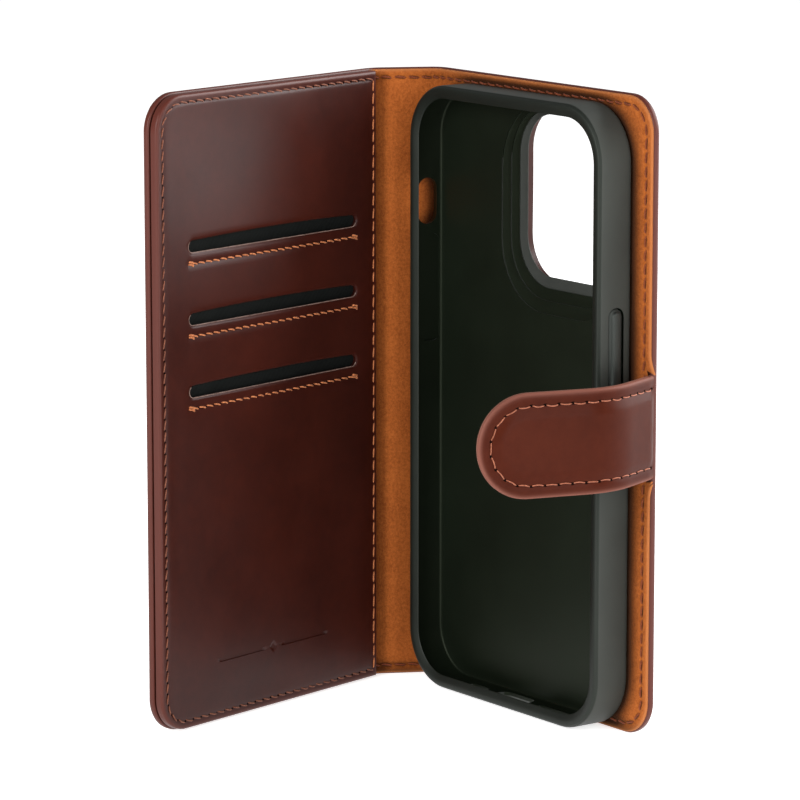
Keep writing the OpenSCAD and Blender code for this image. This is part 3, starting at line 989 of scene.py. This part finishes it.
def loft(name, rings):
    """A closed solid through rings that have the same number of points."""
    size = len(rings[0])
    verts = [v * MM for ring in rings for v in ring]
    faces = []
    for r in range(len(rings) - 1):
        for s in range(size):
            t = (s + 1) % size
            faces.append([r * size + s, r * size + t, (r + 1) * size + t, (r + 1) * size + s])
    faces.append(list(range(size))[::-1])
    faces.append([(len(rings) - 1) * size + s for s in range(size)])
    mesh = bpy.data.meshes.new(name)
    mesh.from_pydata([tuple(v) for v in verts], [], faces)
    bm = bmesh.new()
    bm.from_mesh(mesh)
    bmesh.ops.recalc_face_normals(bm, faces=bm.faces)
    bm.to_mesh(mesh)
    bm.free()
    made = bpy.data.objects.new(name, mesh)
    scene.collection.objects.link(made)
    return made


def outline_2d(x0, y0, x1, y1, radius, grow):
    """Corners of a rounded rectangle, grown or shrunk on every side."""
    ring = rounded_ring(x0 - grow, y0 - grow, x1 + grow, y1 + grow, max(radius + grow, 0.05), 0, 8)
    return [(v.x, v.z) for v in ring]


def shell_solid():
    """Profile of the moulding as (distance in from the outline, depth), from the back face round."""
    mouth = WALL_T + LIP_REACH
    back, front = SHELL_BACK, SHELL_FRONT
    profile = [(3.4, back), (1.2, back), (0.5, back - 0.14), (0.15, back - 0.45),
        (0.03, back - 0.9), (0.0, back - 1.5), (0.0, front + 1.15), (0.04, front + 0.75),
        (0.14, front + 0.48), (0.26, front + 0.40), (0.34, front + 0.30), (0.42, front + 0.14),
        (0.6, front + 0.04), (0.9, front), (mouth - 1.75, front + 0.02),
        (mouth - 1.3, front + 0.12), (mouth - 0.85, front + 0.30), (mouth - 0.4, front + 0.49),
        (mouth - 0.1, front + 0.60), (mouth, front + 0.68), (mouth - 0.1, front + LIP_T),
        (WALL_T + 0.6, front + LIP_T + 0.06), (WALL_T + 0.1, front + LIP_T + 0.2),
        (WALL_T, front + LIP_T + 0.5), (WALL_T, back - PLATE_T - 0.5),
        (WALL_T + 0.07, back - PLATE_T - 0.22), (WALL_T + 0.24, back - PLATE_T - 0.06),
        (WALL_T + 0.5, back - PLATE_T), (WALL_T + 1.6, back - PLATE_T)]
    rings = [rounded_ring(SHELL_X + d, SHELL_Z + d, SHELL_X + SHELL_W - d, SHELL_Z + SHELL_H - d,
        SHELL_R - d, y, 14) for d, y in profile]
    return loft("phone_shell_moulding", rings)


def through_x(x0, x1, outline, grow=0.0):
    """A cutter through a side wall. outline is (y0, z0, y1, z1, radius)."""
    y0, z0, y1, z1, radius = outline
    rings = [[Vector((x, a, b)) for a, b in outline_2d(y0, z0, y1, z1, radius, g)]
        for x, g in ((x0, grow), (x1, 0.0))]
    return loft("cutter", rings)


def through_z(z0, z1, outline, grow):
    """A cutter through the bottom wall, wider at its lower end."""
    x0, y0, x1, y1, radius = outline
    rings = [[Vector((a, b, z)) for a, b in outline_2d(x0, y0, x1, y1, radius, g)]
        for z, g in ((z0, grow), (z0 + 1.5, 0.0), (z1, 0.0))]
    return loft("cutter", rings)


def camera_ring(margin, close, y):
    """The camera outline grown by margin, and by no more than close towards the near walls."""
    near = min(margin, close)
    return rounded_ring(CAMERA_X[0] - margin, CAMERA_Z[0] - margin, CAMERA_X[1] + near,
        CAMERA_Z[1] + near, CAMERA_R + 0.8 * margin, y, 12)


def camera_step(margin_out, margin_in, start, end, close):
    """A dished step round the camera opening, from depth start down to depth end."""
    face = SHELL_BACK - PLATE_T
    return loft("cutter", [camera_ring(margin_out, close, face - 0.6),
        camera_ring(margin_out, close, face + start), camera_ring(margin_in, close, face + end)])


def side_cutter(name, x0, x1):
    """Cutter for a button's hole, its box grown by the gap round it."""
    low, high = box_mm(name)
    half = (high[1] - low[1]) / 2 + BUTTON_GAP
    return through_x(x0, x1, (low[1] - BUTTON_GAP, low[2] - BUTTON_GAP, high[1] + BUTTON_GAP,
        high[2] + BUTTON_GAP, half - 0.01))


def cut_shell():
    shell = shell_solid()
    right = SHELL_X + SHELL_W
    mute, port = opening("mute_switch_opening"), opening("charging_port_opening")
    mute_clear, port_clear = 1.4, 1.1
    cutters = [camera_step(9.0, 8.8, 0.30, 0.36, 2.4), camera_step(5.8, 5.5, 0.66, 0.74, 1.7),
        camera_step(2.8, 2.6, 0.96, 1.02, 1.0)]
    cutters.append(loft("cutter", [camera_ring(0, 0, SHELL_BACK + y) for y in (-3, 1)]))
    cutters.append(through_x(SHELL_X - 1, SHELL_X + 2.1, (mute[0][1] - 0.55, mute[0][2] - mute_clear,
        mute[1][1] + 0.55, mute[1][2] + mute_clear, 2.79), MUTE_FLARE))
    volume = [box_mm(n) for n in ("volume_down_button", "volume_up_button")]
    recess = (volume[0][0][1] - 0.9, volume[0][0][2] - 1.1, volume[0][1][1] + 0.9,
        volume[1][1][2] + 1.4, 2.0)
    cutters.append(through_x(SHELL_X + VOLUME_FLOOR, SHELL_X + 2.4, recess))
    for button in ("volume_down_button", "volume_up_button"):
        cutters.append(side_cutter(button, SHELL_X - 1, SHELL_X + BUTTON_WELL))
    cutters.append(side_cutter("power_button", right - BUTTON_WELL, right + 1))
    port_ring = (port[0][0] - port_clear, port[0][1] - 0.3, port[1][0] + port_clear,
        port[1][1] + 0.3, 2.2)
    cutters.append(through_z(SHELL_Z - 0.5, SHELL_Z + 2.9, port_ring, PORT_FLARE))
    for x0, x1 in ((20.4, 27.6), (47.7, 59.5)):
        cutters.append(through_z(SHELL_Z - 0.5, SHELL_Z + 2.9,
            (SHELL_X + x0, SHELL_BACK - 7.1, SHELL_X + x1, SHELL_BACK - 4.7, 1.19), PORT_FLARE))
    bpy.context.view_layer.objects.active = shell
    for cutter in cutters:
        cut = shell.modifiers.new("cut", "BOOLEAN")
        cut.operation, cut.solver, cut.object = "DIFFERENCE", "EXACT", cutter
        bpy.ops.object.modifier_apply(modifier=cut.name)
        bpy.data.objects.remove(cutter)
    soften = shell.modifiers.new("soften", "BEVEL")
    soften.width, soften.segments, soften.limit_method = 0.12 * MM, 2, "ANGLE"
    soften.angle_limit = math.radians(42)
    soften.harden_normals = True
    shell.data.shade_smooth()
    # Faces of the lip's front rim and of the inside get the darker copies as painted shade; the rest get the
    # lighter wall copy as painted light
    lit_and_shaded_finishes = {"wall": SHELL_WALL_LIT, "inside": SHELL_INSIDE_SHADED, "rim": SHELL_RIM_SHADED}
    index_of = {name: index for index, name in enumerate(lit_and_shaded_finishes)}
    for look in lit_and_shaded_finishes.values():
        shell.data.materials.append(look)
    middle = Vector((SHELL_X + SHELL_W / 2, 0, SHELL_Z + SHELL_H / 2)) * MM
    for face in shell.data.polygons:
        inward = (middle - face.center) * Vector((1, 0, 1))
        depth = face.center.y / MM
        if depth < SHELL_FRONT + 0.95 and face.normal.y < -0.3:
            face.material_index = index_of["rim"]
        elif SHELL_FRONT + 0.95 <= depth < SHELL_BACK - 0.35 and (
                face.normal.y < -0.5 or face.normal.dot(inward.normalized()) > 0.3):
            face.material_index = index_of["inside"]
    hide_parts("phone_shell")
    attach(shell, "back")


cut_shell()


# ---------- Buttons ----------

def button(node, body, outward):
    """A foot that fills the well, with a narrow raised bar to press."""
    low, high = box_mm(node)
    face = low[0] if outward < 0 else high[0]
    root = high[0] if outward < 0 else low[0]
    steps = [(root + outward * 0.2, 0.15), (root + outward * 0.4, 0.0), (face - outward * 0.95, 0.0),
        (face - outward * 0.78, 0.12), (face - outward * 0.74, 0.62), (face - outward * 0.62, 0.74),
        (face - outward * 0.25, 0.78), (face - outward * 0.07, 0.9), (face, 1.15)]
    rings = []
    for x, inset in steps:
        radius = (high[1] - low[1]) / 2 - 0.01
        ring = outline_2d(low[1], low[2], high[1], high[2], radius, -inset)
        rings.append([Vector((x, y, z)) for y, z in ring])
    made = loft(node.replace("_button", "_key"), rings)
    made.data.shade_smooth()
    made.data.materials.append(BUTTON_PLASTIC)
    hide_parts(node)
    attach(made, body)


button("volume_up_button", "volume_up", -1)
button("volume_down_button", "volume_down", -1)
button("power_button", "power", 1)


# ---------- Finishes of the CAD nodes that show ----------

def dress(node, material, width):
    """A CAD node's own material and softened edges."""
    piece = frame["nodes"][node]
    piece.data.materials.clear()
    piece.data.materials.append(material)
    if width:
        bevel = piece.modifiers.new("edges", "BEVEL")
        bevel.width, bevel.segments, bevel.limit_method = width * MM, 3, "ANGLE"
        bevel.angle_limit = math.radians(40)
        bevel.harden_normals = True


dress("shell_adhesive_pad", PAD_FOAM, 0)
dress("strap_root_tab", STRAP_LEATHER, 0.1)
dress("front_catch_plate", STEEL, 0.1)
for magnet in ("strap_magnet_upper", "strap_magnet_lower"):
    dress(magnet, STEEL, 0.1)


# ---------- Lining areas, computed and not used ---

def flat_area(piece):
    """Half of the closed sheet's surface, which is the cloth as it was cut."""
    return sum(face.area for face in piece.data.polygons) / 2


for cloth, size, under in ((back_lining, back_size, "cover_leather_back"),
        (front_lining, front_size, "cover_leather_front")):
    min(flat_area(cloth), size[0] * size[1])


# ---------- Floor, light and camera ----------

# Name, place, target, size in metres and power in watts
SOFTBOXES = (
    ("back_softbox", (0.30, 0.95, 0.50), (0, 0, 0.08), (0.9, 0.9), 22),
    ("key_softbox", (0.22, -0.98, 0.50), (0, 0, 0.08), (0.35, 0.7), 11),
    ("side_softbox", (0.92, 0.02, 0.36), (0.04, 0, 0.08), (0.4, 0.8), 5))


def studio():
    world = bpy.data.worlds.new("studio")
    world.use_nodes = True
    world.node_tree.nodes["Background"].inputs["Color"].default_value = (1, 1, 1, 1)
    world.node_tree.nodes["Background"].inputs["Strength"].default_value = 0.27
    scene.world = world
    mesh = bpy.data.meshes.new("floor")
    far = 6.0
    mesh.from_pydata([(-far, -far, 0), (far, -far, 0), (far, far, 0), (-far, far, 0)], [],
        [(0, 1, 2, 3)])
    floor = bpy.data.objects.new("floor", mesh)
    scene.collection.objects.link(floor)
    look = Finish("lit_floor", Roughness=0.9, Specular_IOR_Level=0.05, Emission_Strength=0.72,
        Emission_Color=(1, 1, 1, 1))
    look.colour(look.ramp(look.noise(3, 2), (0.3, 0.88), (0.7, 0.9)))
    mesh.materials.append(look.material)
    for name, at, aim, size, power in SOFTBOXES:
        data = bpy.data.lights.new(name, "AREA")
        data.shape, data.size, data.size_y, data.energy = "RECTANGLE", size[0], size[1], power
        lamp = bpy.data.objects.new(name, data)
        scene.collection.objects.link(lamp)
        lamp.location = at
        lamp.rotation_euler = (Vector(aim) - Vector(at)).to_track_quat("-Z", "Y").to_euler()
    scene.view_settings.view_transform = "Standard"


def camera():
    data = bpy.data.cameras.new("camera")
    data.lens, data.sensor_width = 196.9, 36
    made = bpy.data.objects.new("camera", data)
    scene.collection.objects.link(made)
    yaw, pitch = math.radians(-53.76), math.radians(10.256)
    made.location = (0.8278, -0.6028, 0.2666)
    ahead = Vector((math.sin(yaw) * math.cos(pitch), math.cos(yaw) * math.cos(pitch),
        -math.sin(pitch)))
    made.rotation_euler = ahead.to_track_quat("-Z", "Y").to_euler()
    data.clip_start, data.clip_end = 0.05, 20
    scene.camera = made


studio()
camera()
